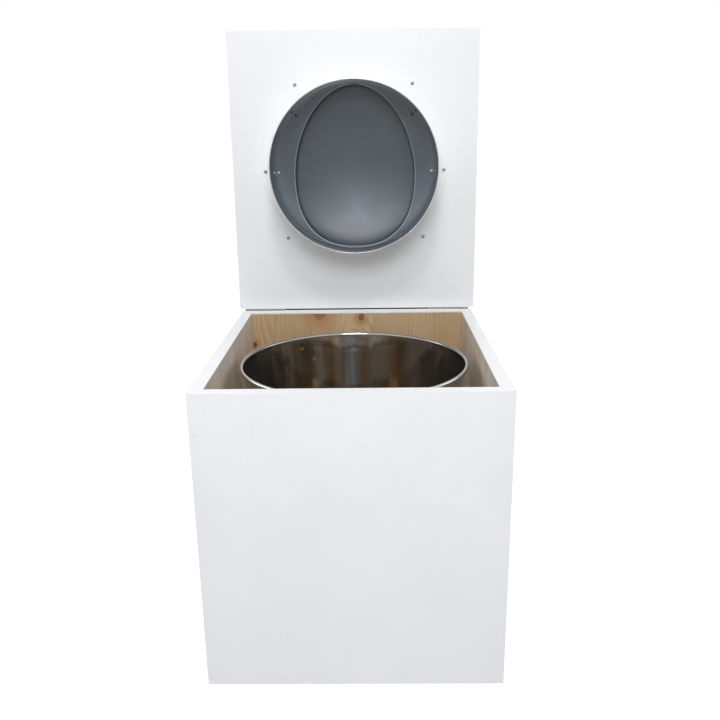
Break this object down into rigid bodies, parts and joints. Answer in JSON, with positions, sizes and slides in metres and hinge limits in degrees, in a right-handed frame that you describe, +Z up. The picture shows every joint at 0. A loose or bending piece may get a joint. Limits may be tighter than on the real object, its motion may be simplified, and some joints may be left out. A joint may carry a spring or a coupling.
{
  "type": "composting toilet",
  "caption": "Box-shaped composting toilet with a hinged seat board, splash collar, seat ring and lid, and a lift-out bucket with a bail.",
  "frame": {"origin": "centre of the box's underside, on the floor", "axes": "+Z up, -Y towards the user's side (front), +X to the right seen from the front"},
  "size_m": [0.41, 0.521, 0.8755],
  "materials": {
    "white_paint": "satin white paint on spruce",
    "raw_spruce": "bare glued spruce",
    "seat_plastic": "grey moulded plastic",
    "stainless": "polished stainless sheet",
    "screw_steel": "zinc-plated steel",
    "rubber": "black rubber"
  },
  "bodies": {
    "box": {"front_panel": "white_paint", "rear_panel": "white_paint", "left_panel": "white_paint", "right_panel": "white_paint", "base_panel": "raw_spruce", "front_panel_screws": "white_paint", "rear_panel_screws": "white_paint", "base_screws": "white_paint", "hinge_leaf_fixed_left": "screw_steel", "hinge_leaf_fixed_right": "screw_steel", "hinge_pin_left": "screw_steel", "hinge_pin_right": "screw_steel", "hinge_screws_box": "screw_steel"},
    "seat_board": {"seat_board": "white_paint", "hinge_leaf_moving_left": "screw_steel", "hinge_leaf_moving_right": "screw_steel", "hinge_screws_board": "screw_steel", "splash_collar": "stainless", "collar_screws": "screw_steel", "seat_ring": "seat_plastic", "seat_ring_screws": "screw_steel", "seat_ring_side_screws": "screw_steel", "lid_hinge_post_left": "screw_steel", "lid_hinge_post_right": "screw_steel", "lid_hinge_pin_left": "screw_steel", "lid_hinge_pin_right": "screw_steel", "lid_hinge_screws": "screw_steel"},
    "seat_lid": {"seat_lid": "seat_plastic", "lid_buffers": "rubber"},
    "bucket": {"bucket": "stainless", "bucket_ear_back": "stainless", "bucket_ear_front": "stainless"},
    "bail": {"bail": "stainless", "bail_grip": "rubber"}
  },
  "joints": [
    {"name": "board_hinge", "type": "hinge", "parent": "box", "child": "seat_board", "pos_m": [0, 0.2275, 0.4172], "axis": [-1, 0, 0], "range_deg": [-91.8, 0]},
    {"name": "seat_lid_hinge", "type": "hinge", "parent": "seat_board", "child": "seat_lid", "pos_m": [0, 0.26276, 0.45661], "axis": [-1, 0, 0], "range_deg": [0, 97]},
    {"name": "bucket_lift", "type": "slide", "parent": "box", "child": "bucket", "axis": [0, 0, 1], "range_m": [0, 0.5]},
    {"name": "bail_swing", "type": "hinge", "parent": "bucket", "child": "bail", "pos_m": [0, -0.015, 0.368], "axis": [-0.5446, 0.8387, 0], "range_deg": [0, 232]}
  ]
}
